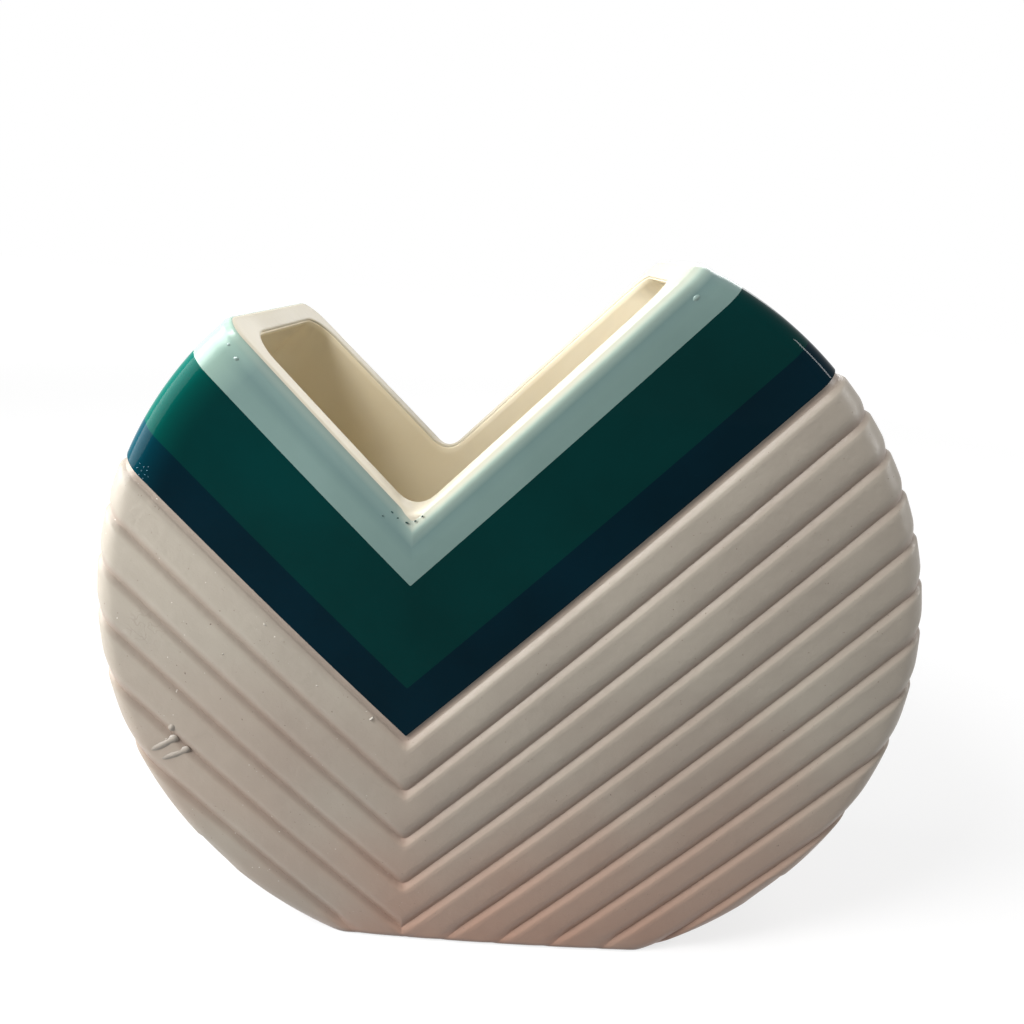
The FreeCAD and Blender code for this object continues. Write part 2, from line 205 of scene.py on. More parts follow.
def arm_line(side, skin):
    """
    The straight line of each row in the plane of the disc, seen from the disc's middle.
    Returns its nearest point to the middle, its direction, and where on it the row starts and ends:
    it starts at the line of the V, or at the rim if the V lies outside, and ends at the rim.
    """
    run, climb = SIGNS[side] * math.cos(SLOPES[side]), math.sin(SLOPES[side])
    across, up = -MOUTH_OFFSET, MOUTH_RISE - column(skin, 0)
    at_v = across * run + up * climb
    near_x, near_z = across - at_v * run, up - at_v * climb
    reach = np.sqrt(np.maximum((CREST_RADIUS + column(skin, 1)) ** 2 - near_x ** 2 - near_z ** 2, 0.0))
    return near_x, near_z, run, climb, np.maximum(at_v, -reach), reach


def arm_front(side, skin):
    """
    The front of the rows: each row is the section of the disc by the level plane of its arm.
    Its points are spread evenly by length, with more of them where it turns, beside the V and at the foot.
    """
    near_x, near_z, run, climb, start, end = arm_line(side, skin)
    offset, corner, extra = (column(skin, index) for index in (1, 2, 3))
    outer = CREST_RADIUS + offset
    nearest = np.hypot(near_x, near_z)
    share = (1 - np.cos(np.linspace(0, math.pi, HELP_POINTS))) / 2
    along = start + (end - start) * share
    depth = face_depth(np.minimum(np.hypot(nearest, along), outer), offset, extra)
    step, rise = np.diff(along), np.diff(depth)
    turn = np.abs(np.diff(np.arctan2(rise, step + 1e-9), prepend=0.0))
    turn[:, 0] = 0.0
    crowd = CORNER_WEIGHT * np.diff(1 - np.exp((start - along) / CORNER_SPREAD))
    above_foot = near_z + along[:, 1:] * climb + CENTRE_HEIGHT
    foot_crowd = 1 + FOOT_CROWD * np.exp(-(above_foot / FOOT_SPREAD) ** 2)
    weight = np.cumsum(np.hypot(step, rise) * foot_crowd + TURN_WEIGHT * turn + crowd, axis=1)
    weight = np.hstack([np.zeros_like(start), weight]) / np.maximum(weight[:, -1:], 1e-6)
    shelf = 2.0 * np.arange(len(skin))[:, None]
    wanted = np.linspace(0, 1, ROW_POINTS) + shelf
    spaced = np.interp(wanted.ravel(), (weight + shelf).ravel(), along.ravel()).reshape(wanted.shape)
    x, z = near_x + spaced * run, near_z + spaced * climb
    inside = np.clip((outer - 2 * RIM_ROUND - np.hypot(x, z)) / RIM_ROUND, 0, 1)
    beside = np.abs(x + MOUTH_OFFSET)
    z = z + inside * CORNER_SLOPE * (soft_distance(beside, corner) - beside)
    depth = face_depth(np.minimum(np.hypot(x, z), outer), offset, extra)
    return np.stack([x, -depth, z], axis=-1)


def rim_strip(side, skin, entry):
    """The rows across the straight rim, from the front edge to the back one, at their end or their entry."""
    near_x, near_z, run, climb, start, end = arm_line(side, skin)
    along = start if entry else end
    rim_half = disc_profile(column(skin, 1), column(skin, 3))[4]
    across = rim_half * np.linspace(-1, 1, RIM_POINTS)
    x, z = near_x + along * run, near_z + along * climb
    return np.stack(np.broadcast_arrays(x, across, z), axis=-1)


def outline_excess(x, z, offset, lift):
    """
    How far a point lies outside the disc's outline with its foot: a circle, a flat foot,
    and a round on each side that runs from one into the other.
    """
    foot_half = math.sqrt((CREST_RADIUS - FOOT_CORNER_ROUND) ** 2 - (CENTRE_HEIGHT - FOOT_CORNER_ROUND) ** 2)
    turn = math.asin(foot_half / (CREST_RADIUS - FOOT_CORNER_ROUND))
    circle = np.hypot(x, z) - (CREST_RADIUS + offset)
    level = lift - (z + CENTRE_HEIGHT)
    beside = np.abs(x) - foot_half
    below = FOOT_CORNER_ROUND - (z + CENTRE_HEIGHT)
    shown = np.where(lift > 0, -lift, offset * np.clip((z + CENTRE_HEIGHT) / RIM_ROUND, 0, 1))
    rounded = np.hypot(beside, below) - (FOOT_CORNER_ROUND + shown)
    angle = np.arctan2(beside, below)
    excess = np.where(beside > 0, circle, np.maximum(level, circle))
    return np.where((angle > 0) & (angle < turn) & (below > 0), np.maximum(rounded, circle), excess)


def body_excess(points, offset, extra, lift):
    """
    How far a point lies outside the footed disc: the rounded meeting of its outline and its domed face.
    The round is small at the foot and grows to that of the rim.
    """
    x, y, z = points.T
    ball, ball_middle, corner = disc_profile(offset, extra)[:3]
    outline = outline_excess(x, z, offset, lift)
    face = np.sqrt(x ** 2 + z ** 2 + (np.abs(y) - ball_middle) ** 2) - ball
    grown = np.clip((z + CENTRE_HEIGHT - lift) / FOOT_EDGE_RISE, 0, 1)
    foot_round = np.where(lift > 0, INNER_FOOT_ROUND, FOOT_EDGE_ROUND)
    edge = foot_round + (corner - foot_round) * grown ** 2 * (3 - 2 * grown)
    both = np.hypot(np.maximum(edge + outline, 0), np.maximum(edge + face, 0))
    return np.minimum(-edge, np.maximum(outline, face)) + both


def ease(share):
    """A share that starts and ends softly between 0 and 1."""
    share = np.clip(share, 0, 1)
    return share * share * (3 - 2 * share)


def fill_grooves(points, skin):
    """
    Makes the grooves shallower on the rim and at the foot. A point keeps its place on its own profile and
    moves straight out of the skin: from the ball's middle on the face, from the round's middle on the edge,
    and from the disc's middle line on the rim. Returns the points and their new offsets.
    """
    x, y, z = np.moveaxis(points, -1, 0)
    drop, offset, extra = (column(skin, index) for index in (0, 1, 3))
    radius = np.hypot(x, z)
    ribbed = ease((drop - RIB_START) / GROOVE_BELOW) * (column(skin, 4) == 0)
    rim = RIM_FILL * ease((radius - RIM_FILL_START) / (CREST_RADIUS - RIM_FILL_START))
    foot = FOOT_FILL * ease(1 - (z + CENTRE_HEIGHT) / FOOT_FILL_HEIGHT)
    filled = offset * (1 - ribbed * (1 - (1 - rim) * (1 - foot)))
    ball, ball_middle, corner, corner_radius, rim_half, meeting = disc_profile(offset, extra)
    depth = np.abs(y)
    side = np.where(y < 0, -1.0, 1.0)
    out = 1 / np.maximum(radius, 1e-6)
    on_ball = (ball + filled - offset) / ball
    on_edge = (corner + filled - offset) / corner
    edge_radius = corner_radius + on_edge * (radius - corner_radius)
    edge_depth = rim_half + on_edge * (depth - rim_half)
    face = radius <= meeting
    new_radius = np.where(face, radius * on_ball, edge_radius)
    new_depth = np.where(face, ball_middle + on_ball * (depth - ball_middle), edge_depth)
    new_depth = np.where(depth <= rim_half, depth, new_depth)
    moved = np.stack([x * out * new_radius, side * new_depth, z * out * new_radius], axis=-1)
    return moved, filled


def settle_on_foot(points, skin):
    """
    Fills the grooves where they end, then draws every point that lies outside the footed disc straight
    towards the disc's middle, onto its skin, by halving the way in again and again.
    """
    points, offset = fill_grooves(points, skin)
    shape = points.shape
    offset = offset.ravel()
    extra, lift = (np.broadcast_to(column(skin, index), shape[:2]).ravel() for index in (3, 4))
    flat = points.reshape(-1, 3).copy()
    low = flat[:, 2] < FOOT_CORNER_ROUND - CENTRE_HEIGHT
    out = low & (body_excess(flat, offset, extra, lift) > 0)
    moved, offset, extra, lift = flat[out], offset[out], extra[out], lift[out]
    near, far = np.zeros(len(moved)), np.ones(len(moved))
    for halving in range(HALVINGS):
        middle = (near + far) / 2
        outside = body_excess(moved * middle[:, None], offset, extra, lift) > 0
        far = np.where(outside, middle, far)
        near = np.where(outside, near, middle)
    flat[out] = moved * near[:, None]
    return flat.reshape(shape)


def ring_patches(side, skin):
    """All the patches of one side's rows: the front, its mirror at the back, the rim, and the entry rim."""
    front = arm_front(side, skin)
    patches = [front, front * (1, -1, 1), rim_strip(side, skin, False)]
    patches = [settle_on_foot(patch, skin) for patch in patches]
    line = arm_line(side, skin)
    at_rim = (line[4] <= -line[5] + 1e-7).ravel()
    for group in np.split(np.arange(len(skin)), np.flatnonzero(np.diff(at_rim)) + 1):
        if at_rim[group[0]] and len(group) > 1:
            patches.append(settle_on_foot(rim_strip(side, skin[group], True), skin[group]))
    return patches


def patch_faces(rows, columns, first):
    """The quads of a grid of points whose first point has the given number."""
    corner = first + np.arange(rows - 1)[:, None] * columns + np.arange(columns - 1)
    return np.stack([corner, corner + 1, corner + columns + 1, corner + columns], axis=-1).reshape(-1, 4)


def welded_mesh(name, patches, crisp=False):
    """
    One mesh of grids of points: its doubles are merged, empty faces go, and the faces point outwards.
    A crisp one keeps sharp edges where it turns by more than the sharp angle.
    """
    points = np.concatenate([patch.reshape(-1, 3) for patch in patches])
    firsts = np.cumsum([0] + [patch.shape[0] * patch.shape[1] for patch in patches])
    faces = np.concatenate([patch_faces(*patch.shape[:2], first) for patch, first in zip(patches, firsts)])
    placed = (points + (0, 0, CENTRE_HEIGHT)) * MM
    mesh = bpy.data.meshes.new(name)
    mesh.from_pydata(placed.tolist(), [], faces.tolist())
    work = bmesh.new()
    work.from_mesh(mesh)
    bmesh.ops.remove_doubles(work, verts=work.verts, dist=WELD_DISTANCE * MM)
    bmesh.ops.dissolve_degenerate(work, edges=work.edges, dist=THINNEST_FACE * MM)
    bmesh.ops.recalc_face_normals(work, faces=work.faces)
    work.to_mesh(mesh)
    work.free()
    mesh.shade_smooth()
    if crisp:
        mesh.set_sharp_from_angle(angle=SHARP_ANGLE)
    return mesh


def add_piece(name, mesh, material, slot, *nodes):
    """A piece of the vase that stands for CAD nodes and takes the given finish; the slot is not used."""
    piece = bpy.data.objects.new(name, mesh)
    bpy.context.scene.collection.objects.link(piece)
    mesh.materials.append(material)
    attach(piece, "root")
    if nodes:
        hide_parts(*nodes)
    return piece


def tangent_drop(side, offset):
    """The drop at which a row just touches the rim of the disc and ends in a point."""
    shift = MOUTH_OFFSET * math.tan(SLOPES[side]) * SIGNS[side]
    return MOUTH_RISE + shift + (CREST_RADIUS + offset) / math.cos(SLOPES[side])


def rim_drop(offset):
    """The drop at which the line of the V leaves the disc at its lower rim."""
    return MOUTH_RISE + math.sqrt((CREST_RADIUS + offset) ** 2 - MOUTH_OFFSET ** 2)


def groove_drops(side):
    """The drops of the groove bottoms on one side, as far as a whole groove still meets the disc."""
    last = tangent_drop(side, -RIB_DEPTH) - GROOVE_BELOW
    return np.arange(FIRST_GROOVE, last, RIB_PITCH)


def relief(drop, grooves):
    """
    The offset of the ribbed outside: the ground beside the bands, a rise to the first rib, and grooves.
    A groove is a crisp valley: a long soft wall comes down to it and a short steep one rises from it,
    and both flatten out into the ribs as a power of the distance.
    """
    rise = np.clip((drop - RIB_START) / GROOVE_BELOW, 0, 1)
    offset = -RIB_DEPTH * (1 - rise) ** POWER_BELOW
    for bottom in grooves:
        falling = np.clip(1 - (bottom - drop) / GROOVE_ABOVE, 0, 1) ** POWER_ABOVE
        rising = np.clip(1 - (drop - bottom) / GROOVE_BELOW, 0, 1) ** POWER_BELOW
        offset = np.minimum(offset, -RIB_DEPTH * np.where(drop < bottom, falling, rising))
    return offset


def closing_drops(first, last, count):
    """Drops from the first to the last that crowd towards the last, where the rows shrink to a point."""
    return last - (last - first) * np.linspace(1, 0, count) ** 2


def with_row(drops, wanted):
    """The drops with the wanted one among them, and none that nearly repeats it."""
    kept = drops[np.abs(drops - wanted) > 0.3]
    return np.sort(np.append(kept, wanted))


def ribbed_rows(side):
    """The outside of the shell on one side, from under the lip down to the last point."""
    grooves = groove_drops(side)
    last = tangent_drop(side, 0.0)
    drops = [np.linspace(LIP_ROUND, STRIP_DROP, 8), [STRIP_DROP + 1.2, RIB_START]]
    drops.append(RIB_START + GROOVE_BELOW * WALL_SHARES)
    for bottom in grooves:
        drops.append(bottom - GROOVE_ABOVE * WALL_SHARES)
        drops.append([bottom])
        drops.append(bottom + GROOVE_BELOW * WALL_SHARES)
        drops.append(bottom - RIB_PITCH / 2 + CREST_STEPS)
    drops.append(closing_drops(grooves[-1] + GROOVE_BELOW + 1.0, last, 16))
    drops = np.unique(np.round(np.concatenate(drops), 4))
    leaving = rim_drop(0.0)
    for nearer in range(6):
        leaving = rim_drop(float(relief(leaving, grooves)))
    drops = with_row(drops, leaving)
    drops[-1] = last
    corner = np.where(drops > STRIP_DROP + 1, RIB_CORNER, TIP_CORNER)
    corner = np.where(drops < LIP_REVEAL, LIP_CORNER, corner)
    return skin_rows(drops, relief(drops, grooves), corner)


def inner_rows(side, offset, top, extra):
    """A plain inner wall on one side, from the given drop down to its last point, over the level floor."""
    leaving, last = rim_drop(offset), tangent_drop(side, offset)
    neck = np.linspace(top, NECK_DROP, NECK_ROWS)
    wall = np.linspace(NECK_DROP, leaving, WALL_ROWS)[1:]
    drops = np.concatenate([neck, wall, closing_drops(leaving, last, CLOSING_ROWS)[1:]])
    softened = np.clip(1 - (drops - top) / INNER_CORNER_FADE, 0, 1)
    corner = TIP_CORNER + (LIP_INNER_CORNER - TIP_CORNER) * softened
    lift = FLOOR_THICKNESS - (offset + RIB_DEPTH + WALL)
    return skin_rows(drops, offset, corner, extra, lift)


def lip_rows():
    """The lip from the outside to the inside: a quarter round, a flat top and a small crisp inner round."""
    angle = np.linspace(0, math.pi / 2, 8)
    outer = LIP_ROUND * (1 - np.sin(angle)), -RIB_DEPTH - LIP_ROUND * (1 - np.cos(angle))
    flat = np.linspace(-RIB_DEPTH - LIP_ROUND, -RIB_DEPTH - WALL + LIP_INNER_ROUND, 5)[1:-1]
    inner = LIP_INNER_ROUND * (1 - np.cos(angle)), -RIB_DEPTH - WALL + LIP_INNER_ROUND * (1 - np.sin(angle))
    drops = np.concatenate([outer[0], 0 * flat, inner[0]])
    offset = np.concatenate([outer[1], flat, inner[1]])
    depth_share = (-RIB_DEPTH - offset) / WALL
    corner = LIP_CORNER + (LIP_INNER_CORNER - LIP_CORNER) * depth_share
    return skin_rows(drops, offset, corner, INNER_EXTRA * depth_share)


def shell_patches():
    """The whole ceramic shell: ribbed outside, lip and inner wall, on both sides of the V."""
    patches = []
    lip = lip_rows()
    for side in SLOPES:
        outside = ribbed_rows(side)[::-1]
        inside = inner_rows(side, -RIB_DEPTH - WALL, LIP_INNER_ROUND, INNER_EXTRA)
        patches += ring_patches(side, outside)
        patches += ring_patches(side, np.vstack([outside[-1:], lip[1:-1], inside[:1]]))
        patches += ring_patches(side, inside)
    return patches


def liner_patches():
    """The clear glaze inside: a thin skin that is sunk a little into the wall, with a round top edge."""
    patches = []
    sunk = -RIB_DEPTH - WALL + GLAZE_SEAT
    shown = -RIB_DEPTH - WALL - LINER_COAT
    for side in SLOPES:
        wall_side = inner_rows(side, sunk, LINER_TOP[0], INNER_EXTRA)[::-1]
        hollow_side = inner_rows(side, shown, LINER_TOP[0], INNER_EXTRA)
        offset = np.linspace(sunk, shown, len(LINER_TOP))
        lift = np.linspace(wall_side[-1, 4], hollow_side[0, 4], len(LINER_TOP))
        top = skin_rows(LINER_TOP, offset, LIP_INNER_CORNER, INNER_EXTRA, lift)
        patches += ring_patches(side, wall_side)
        patches += ring_patches(side, top)
        patches += ring_patches(side, hollow_side)
    return patches


def outer_ground(drop):
    """The offset of the ground under the glaze: level, but falling away over the lip's outer round."""
    short = np.clip(LIP_ROUND - drop, 0, LIP_ROUND)
    return -RIB_DEPTH - LIP_ROUND + np.sqrt(LIP_ROUND ** 2 - short ** 2)


def band_patches(top, bottom, top_round=0.0, bottom_round=0.0, bead=0.0):
    """
    A glaze band: a thin closed strip round the vase, seated a little in the ground. Its top edge can swell
    out of the ground as a quarter of a sine wave, its bottom edge can be a quarter round, and a bead can lie
    below the top edge, with a shallow valley below that.
    """
    near = top + NEAR_DROP * np.linspace(0, 1, NEAR_ROWS) ** NEAR_POWER
    drops = np.concatenate([near, np.linspace(top + FAR_DROP, bottom - bottom_round, FAR_ROWS)])
    down = drops - top
    hump = np.exp(-((down - BEAD_DROP) / BEAD_SPREAD) ** 2)
    valley = np.exp(-((down - VALLEY_DROP) / VALLEY_SPREAD) ** 2)
    swell = bead * (hump - VALLEY_SHARE * valley)
    risen = np.sin(np.clip(down / top_round, 0, 1) * math.pi / 2) if top_round else 1.0
    outside = outer_ground(drops) + risen * (GLAZE_COAT + swell)
    angle = np.linspace(0, math.pi / 2, 6)[1:] if bottom_round else np.zeros(0)
    lower_drops = bottom - bottom_round * (1 - np.sin(angle))
    lower = ON_GLAZE - bottom_round * (1 - np.cos(angle))
    under = np.array([bottom, max(top, LIP_ROUND), top])
    outline = np.concatenate([[top], drops, lower_drops, under])
    seats = outer_ground(under) - GLAZE_SEAT
    offset = np.concatenate([[outer_ground(top) - GLAZE_SEAT], outside, lower, seats])
    corner = TIP_CORNER + MINT_CORNER * np.clip(1 - outline / MINT_CORNER_FADE, 0, 1)
    skin = skin_rows(outline, offset, corner)
    return [patch for side in SLOPES for patch in ring_patches(side, skin)]


def new_material(name, roughness):
    """An empty glazed or bare ceramic finish, and its surface shader."""
    material = bpy.data.materials.new(name)
    material.use_nodes = True
    surface = material.node_tree.nodes["Principled BSDF"]
    surface.inputs["Roughness"].default_value = roughness
    return material, surface


def place(material):
    """The place on the vase, in metres."""
    coordinates = material.node_tree.nodes.new("ShaderNodeTexCoord")
    return coordinates.outputs["Object"]


def join(material, source, target):
    """Links the output of one node to an input of another."""
    material.node_tree.links.new(source, target)


def noise(material, scale, detail=3.0, roughness=0.5):
    """A cloudy pattern, from 0 to 1."""
    node = material.node_tree.nodes.new("ShaderNodeTexNoise")
    node.inputs["Scale"].default_value = scale
    node.inputs["Detail"].default_value = detail
    node.inputs["Roughness"].default_value = roughness
    join(material, place(material), node.inputs["Vector"])
    return node.outputs["Fac"]


def stretch(material, value, low, high, to_low=0.0, to_high=1.0):
    """The value between two limits, spread between two others."""
    node = material.node_tree.nodes.new("ShaderNodeMapRange")
    for name, number in zip(("From Min", "From Max", "To Min", "To Max"), (low, high, to_low, to_high)):
        node.inputs[name].default_value = number
    join(material, value, node.inputs["Value"])
    return node.outputs["Result"]


def tint(material, share, first, second):
    """A colour between two: each is a colour or the result of another tint."""
    node = material.node_tree.nodes.new("ShaderNodeMix")
    node.data_type = "RGBA"
    join(material, share, node.inputs["Factor"])
    for socket, colour in ((node.inputs[6], first), (node.inputs[7], second)):
        if isinstance(colour, tuple):
            socket.default_value = paint(colour)
        else:
            join(material, colour, socket)
    return node.outputs[2]


def paint(colour):
    """A colour as seen on a screen, 0 to 255, as the amounts of light that a shader wants."""
    share = np.array(colour) / 255
    light = np.where(share <= 0.04045, share / 12.92, ((share + 0.055) / 1.055) ** 2.4)
    return (*light.tolist(), 1.0)


def height(material, value, strength, depth):
    """A relief of the given depth in millimetres, as the surface's normal."""
    node = material.node_tree.nodes.new("ShaderNodeBump")
    node.inputs["Strength"].default_value = strength
    node.inputs["Distance"].default_value = depth * MM
    join(material, value, node.inputs["Height"])
    return node.outputs["Normal"]


def reckon(material, operation, first, second=0.0, third=0.0):
    """One sum of two or three values, each a number or the result of another node."""
    node = material.node_tree.nodes.new("ShaderNodeMath")
    node.operation = operation
    for socket, value in zip(node.inputs, (first, second, third)):
        if isinstance(value, float):
            socket.default_value = value
        else:
            join(material, value, socket)
    return node.outputs[0]


def split_place(material):
    """The place across the vase, through it and above its foot, in metres."""
    node = material.node_tree.nodes.new("ShaderNodeSeparateXYZ")
    join(material, place(material), node.inputs[0])
    return node.outputs


def drop_of(material):
    """
    How far a place lies straight below the mouth line, in metres: the height of that line's flank there
    less the place's own height.
    """
    across, through, up = split_place(material)
    beside = reckon(material, "ADD", across, MOUTH_OFFSET * MM)
    right = reckon(material, "MULTIPLY", beside, math.tan(SLOPES["right"]))
    left = reckon(material, "MULTIPLY", beside, -math.tan(SLOPES["left"]))
    below_apex = reckon(material, "SUBTRACT", (CENTRE_HEIGHT + MOUTH_RISE) * MM, up)
    return reckon(material, "ADD", below_apex, reckon(material, "MAXIMUM", right, left))


def left_rim(material):
    """How near a place is to the rim on the upper left of the vase, from 0 to 1."""
    across, through, up = split_place(material)
    above = reckon(material, "SUBTRACT", up, CENTRE_HEIGHT * MM)
    squares = reckon(material, "ADD", reckon(material, "MULTIPLY", across, across),
                     reckon(material, "MULTIPLY", above, above))
    edge = stretch(material, reckon(material, "SQRT", squares), 0.091, 0.1045)
    return reckon(material, "MULTIPLY", edge, stretch(material, across, -0.03, -0.06))


def scuffs(material):
    """Thin wandering scratches within a small round patch near the left edge of the front."""
    across, through, up = split_place(material)
    aside = reckon(material, "ABSOLUTE", reckon(material, "SUBTRACT", across, SCUFF_ACROSS * MM))
    above = reckon(material, "ABSOLUTE", reckon(material, "SUBTRACT", up, SCUFF_HEIGHT * MM))
    patch = stretch(material, reckon(material, "ADD", aside, above), 0.008, 0.003, 0.0, 0.25)
    line = reckon(material, "ABSOLUTE", reckon(material, "SUBTRACT", noise(material, 420.0, 1.0), 0.5))
    return reckon(material, "MULTIPLY", patch, stretch(material, line, 0.03, 0.01))


def satin_cream():
    """
    Bare satin ceramic: warm cream with cloudy tone, painted shade with a rosy tone in the grooves, a painted
    warm reflection near the foot, a painted dark shade line along the foot edge, paler on the lip, with
    pinholes, pale specks on the left, a few scratches and an uneven, finely grained skin.
    """
    material, surface = new_material("satin_cream", 0.38)
    clouds = stretch(material, noise(material, 22.0), 0.35, 0.65)
    cream = tint(material, clouds, (158, 149, 137), (170, 162, 149))
    drop = drop_of(material)
    pitch_start = (FIRST_GROOVE - RIB_PITCH / 2) * MM
    pitch_end = (FIRST_GROOVE + RIB_PITCH / 2) * MM
    phase = reckon(material, "WRAP", drop, pitch_end, pitch_start)
    past_groove = reckon(material, "SUBTRACT", phase, (FIRST_GROOVE - 0.6) * MM)
    # Painted shade with a rosy tone: the cream darkens towards the bottom of every groove.
    groove_shade_and_tone = stretch(material, reckon(material, "ABSOLUTE", past_groove), 0.003, 0.0, 0.0, 0.35)
    cream = tint(material, groove_shade_and_tone, cream, (136, 106, 94))
    # Painted reflection of a warm surface below: cloudy rosy-brown patches towards the bottom.
    low = stretch(material, split_place(material)[2], 0.09, 0.0, 0.0, 0.75)
    warm_reflection = reckon(material, "MULTIPLY", low, stretch(material, noise(material, 13.0, 2.0), 0.3, 0.6))
    cream = tint(material, warm_reflection, cream, (160, 118, 98))
    # Painted shade: a dark line along the bottom edge, where the foot meets the floor.
    foot_shade_line = stretch(material, split_place(material)[2], 0.0024, 0.0006, 0.0, 0.6)
    cream = tint(material, foot_shade_line, cream, (84, 74, 68))
    pinholes = stretch(material, noise(material, 1500.0, 1.0), 0.76, 0.8)
    cream = tint(material, pinholes, cream, (120, 106, 96))
    on_left = stretch(material, split_place(material)[0], -0.01, -0.05)
    grains = stretch(material, noise(material, 1150.0, 1.0), 0.78, 0.82)
    cream = tint(material, reckon(material, "MULTIPLY", on_left, grains), cream, (214, 208, 198))
    cream = tint(material, scuffs(material), cream, (120, 108, 99))
    lip = stretch(material, drop, 0.0030, 0.0020)
    cream = tint(material, lip, cream, (210, 202, 182))
    join(material, cream, surface.inputs["Base Color"])
    surface.inputs["Specular IOR Level"].default_value = 0.4
    satin = stretch(material, noise(material, 60.0), 0.3, 0.7, 0.34, 0.46)
    join(material, satin, surface.inputs["Roughness"])
    uneven = reckon(material, "MULTIPLY", noise(material, 130.0, 2.0), 2.0)
    grain = reckon(material, "ADD", uneven, noise(material, 700.0, 4.0, 0.6))
    join(material, height(material, grain, 0.6, 0.16), surface.inputs["Normal"])
    return material


def colour_glaze(name, deep, light, roughness, gloss, lit_rim_tone=None):
    """
    A smooth fired glaze: a deep tone with slow clouds of a lighter one, over faint dimples.
    The lit rim tone, if there is one, is painted light: the rim on the upper left is paler
    where the light from the left falls on it.
    """
    material, surface = new_material(name, roughness)
    clouds = stretch(material, noise(material, 28.0, 4.0), 0.38, 0.7)
    colour = tint(material, clouds, deep, light)
    # Painted light on the rim on the upper left.
    if lit_rim_tone:
        edge = left_rim(material)
        colour = tint(material, reckon(material, "MULTIPLY", edge, edge), colour, lit_rim_tone)
    join(material, colour, surface.inputs["Base Color"])
    surface.inputs["Specular IOR Level"].default_value = gloss
    join(material, height(material, noise(material, 240.0, 2.0), 0.1, 0.06), surface.inputs["Normal"])
    return material


def mint_glaze():
    """
    The mint glaze: on the right flank it runs thin and pale towards its top edge, with painted light there,
    and bares the cream there, most of all beside the corner of the V. Painted shade darkens the valley
    below, and painted light makes the rim on the upper left paler.
    """
    material, surface = new_material("mint_glaze", 0.24)
    clouds = stretch(material, noise(material, 28.0, 4.0), 0.38, 0.7)
    mint = tint(material, clouds, (105, 130, 125), (115, 140, 135))
    drop = drop_of(material)
    # Painted shade: a darker band in the valley under the bead, where the surface turns from the light.
    valley = stretch(material, drop, 0.011, 0.0075, 0.0, 0.35)
    mint = tint(material, valley, mint, (86, 111, 113))
    on_right = stretch(material, split_place(material)[0], -0.029, -0.019, 0.1, 0.85)
    # Thin glaze with painted light: the mint pales towards its top edge on the lit right flank.
    thin = reckon(material, "MULTIPLY", on_right, stretch(material, drop, 0.0072, 0.0026))
    mint = tint(material, thin, mint, (194, 215, 200))
    near_corner = stretch(material, split_place(material)[0], 0.045, 0.01, 0.3, 1.0)
    bare = reckon(material, "MULTIPLY", on_right, stretch(material, drop, 0.0036, 0.0021))
    bare = reckon(material, "MULTIPLY", bare, near_corner)
    mint = tint(material, bare, mint, (210, 204, 185))
    # Painted light: the mint on the rim on the upper left is paler where the light from the left falls.
    mint = tint(material, reckon(material, "MULTIPLY", left_rim(material), 0.7), mint, (176, 206, 188))
    join(material, mint, surface.inputs["Base Color"])
    surface.inputs["Specular IOR Level"].default_value = 0.3
    join(material, height(material, noise(material, 300.0, 3.0), 0.25, 0.12), surface.inputs["Normal"])
    return material


def plain_glaze(name, colour, roughness):
    """A speck's own glaze, barely mottled."""
    material, surface = new_material(name, roughness)
    shade = tuple(int(part * 0.8) for part in colour)
    join(material, tint(material, noise(material, 700.0), shade, colour), surface.inputs["Base Color"])
    return material


def bead_patches(places, offset, softness=0.5):
    """
    Small lumps on the front skin at an offset from the rib crests, with flat undersides, sunk a little.
    Each is named by its place across and above the middle of the disc, its half length, half width and
    height, and the turn of its length from level, in degrees. The height falls off as a power of one less
    the squared distance from its middle: a softness of 0.5 is a ball, and a greater one runs out softly.
    """
    across, above, length, width, rise, turn = np.array(places, dtype=float).T[:, :, None, None]
    ball, ball_middle = disc_profile(offset, 0.0)[:2]
    towards_front = -np.sqrt(ball ** 2 - across ** 2 - above ** 2)
    out = np.stack(np.broadcast_arrays(across, towards_front, above), axis=-1) / ball
    turn = np.radians(turn)
    along = np.stack([np.cos(turn), 0 * turn, np.sin(turn)], axis=-1)
    along = along - (along * out).sum(-1, keepdims=True) * out
    aside = np.cross(out, along)
    pole = np.linspace(0, math.pi, 13)[:, None]
    around = np.linspace(0, 2 * math.pi, 17)
    share_along = np.sin(pole) * np.cos(around)
    flat_along = (length * share_along * (1.5 - 0.5 * share_along ** 2))[..., None] * along
    flat_aside = (width * np.sin(pole) * np.sin(around))[..., None] * aside
    swell = np.where(pole < math.pi / 2, np.cos(pole) ** 2, 0.0) ** softness
    upright = ((rise + LUMP_SEAT) * swell * np.ones_like(around) - LUMP_SEAT)[..., None] * out
    return list(out * ball + (0, -ball_middle, 0) + flat_along + flat_aside + upright)


def set_camera():
    """The camera where the photograph was taken, close in front, above the middle and looking down."""
    yaw, pitch, roll = 0.0297, -0.3153, 0.0895
    ahead = Vector((math.sin(yaw) * math.cos(pitch), math.cos(yaw) * math.cos(pitch), math.sin(pitch)))
    level = Vector((math.cos(yaw), -math.sin(yaw), 0))
    upright = level.cross(ahead)
    right = math.cos(roll) * level + math.sin(roll) * upright
    up = -math.sin(roll) * level + math.cos(roll) * upright
    data = bpy.data.cameras.new("camera")
    data.sensor_width = 36.0
    data.lens = 27.24
    data.shift_x = -0.0391
    data.shift_y = -0.0035
    data.clip_start = 0.01
    camera = bpy.data.objects.new("camera", data)
    camera.matrix_world = Matrix((right, up, -ahead)).transposed().to_4x4()
    camera.location = (0.001904, -0.205579, 0.189742)
    bpy.context.scene.collection.objects.link(camera)
    bpy.context.scene.camera = camera


